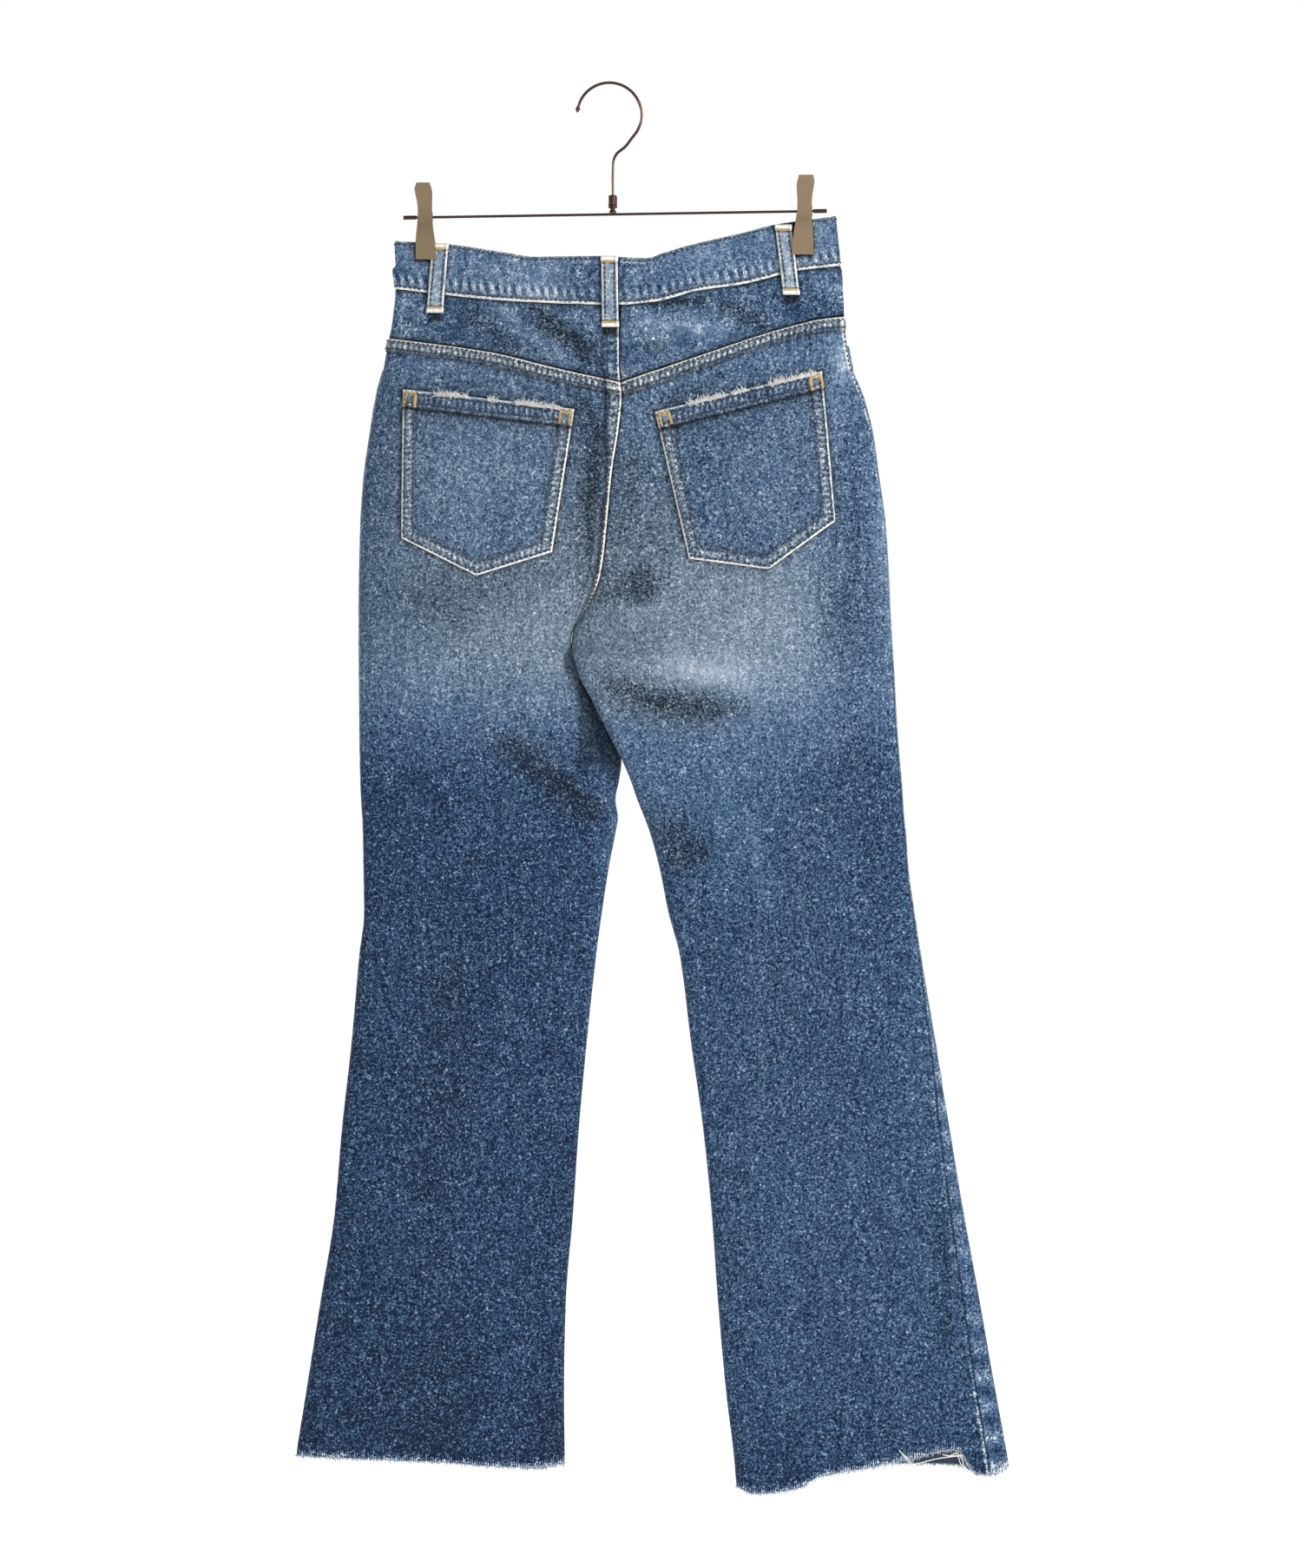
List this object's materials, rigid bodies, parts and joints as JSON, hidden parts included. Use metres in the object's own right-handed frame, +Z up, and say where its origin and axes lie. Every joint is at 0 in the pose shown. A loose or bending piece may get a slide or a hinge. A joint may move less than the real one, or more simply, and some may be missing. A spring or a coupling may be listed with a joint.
{
  "type": "flared jeans on a clip hanger",
  "caption": "High-waisted flared jeans with raw frayed hems, hung flat by the waistband from a metal clip hanger.",
  "frame": {"origin": "inside top of the hanger's hook, where a clothes rail carries it", "axes": "+Z up, +X to the wearer's right, +Y towards the front of the jeans, so the back faces -Y"},
  "size_m": [0.587, 0.0524, 1.1657],
  "materials": {
    "denim": "washed blue denim, faded at the seat",
    "fray": "loose pale weft threads",
    "thread": "navy sewing thread",
    "tack_thread": "gold sewing thread",
    "hanger_metal": "satin nickel",
    "button_metal": "aged copper"
  },
  "bodies": {
    "root": {"waistband": "denim", "yoke_left": "denim", "yoke_right": "denim", "back_left": "denim", "back_right": "denim", "front_left": "denim", "front_right": "denim", "pocket_facing_left": "denim", "pocket_facing_right": "denim", "back_pocket_left": "denim", "back_pocket_right": "denim", "belt_loop_back_middle": "denim", "belt_loop_back_left": "denim", "belt_loop_back_right": "denim", "belt_loop_front_left": "denim", "belt_loop_front_right": "denim", "fly_lap": "denim", "hem_fray_left": "fray", "hem_fray_right": "fray", "hanger_hook": "hanger_metal", "hanger_ferrule": "hanger_metal", "hanger_bar": "hanger_metal", "clip_left_back_plate": "hanger_metal", "clip_left_front_plate": "hanger_metal", "clip_left_barrel": "hanger_metal", "clip_right_back_plate": "hanger_metal", "clip_right_front_plate": "hanger_metal", "clip_right_barrel": "hanger_metal", "waist_button": "button_metal"}
  },
  "joints": []
}
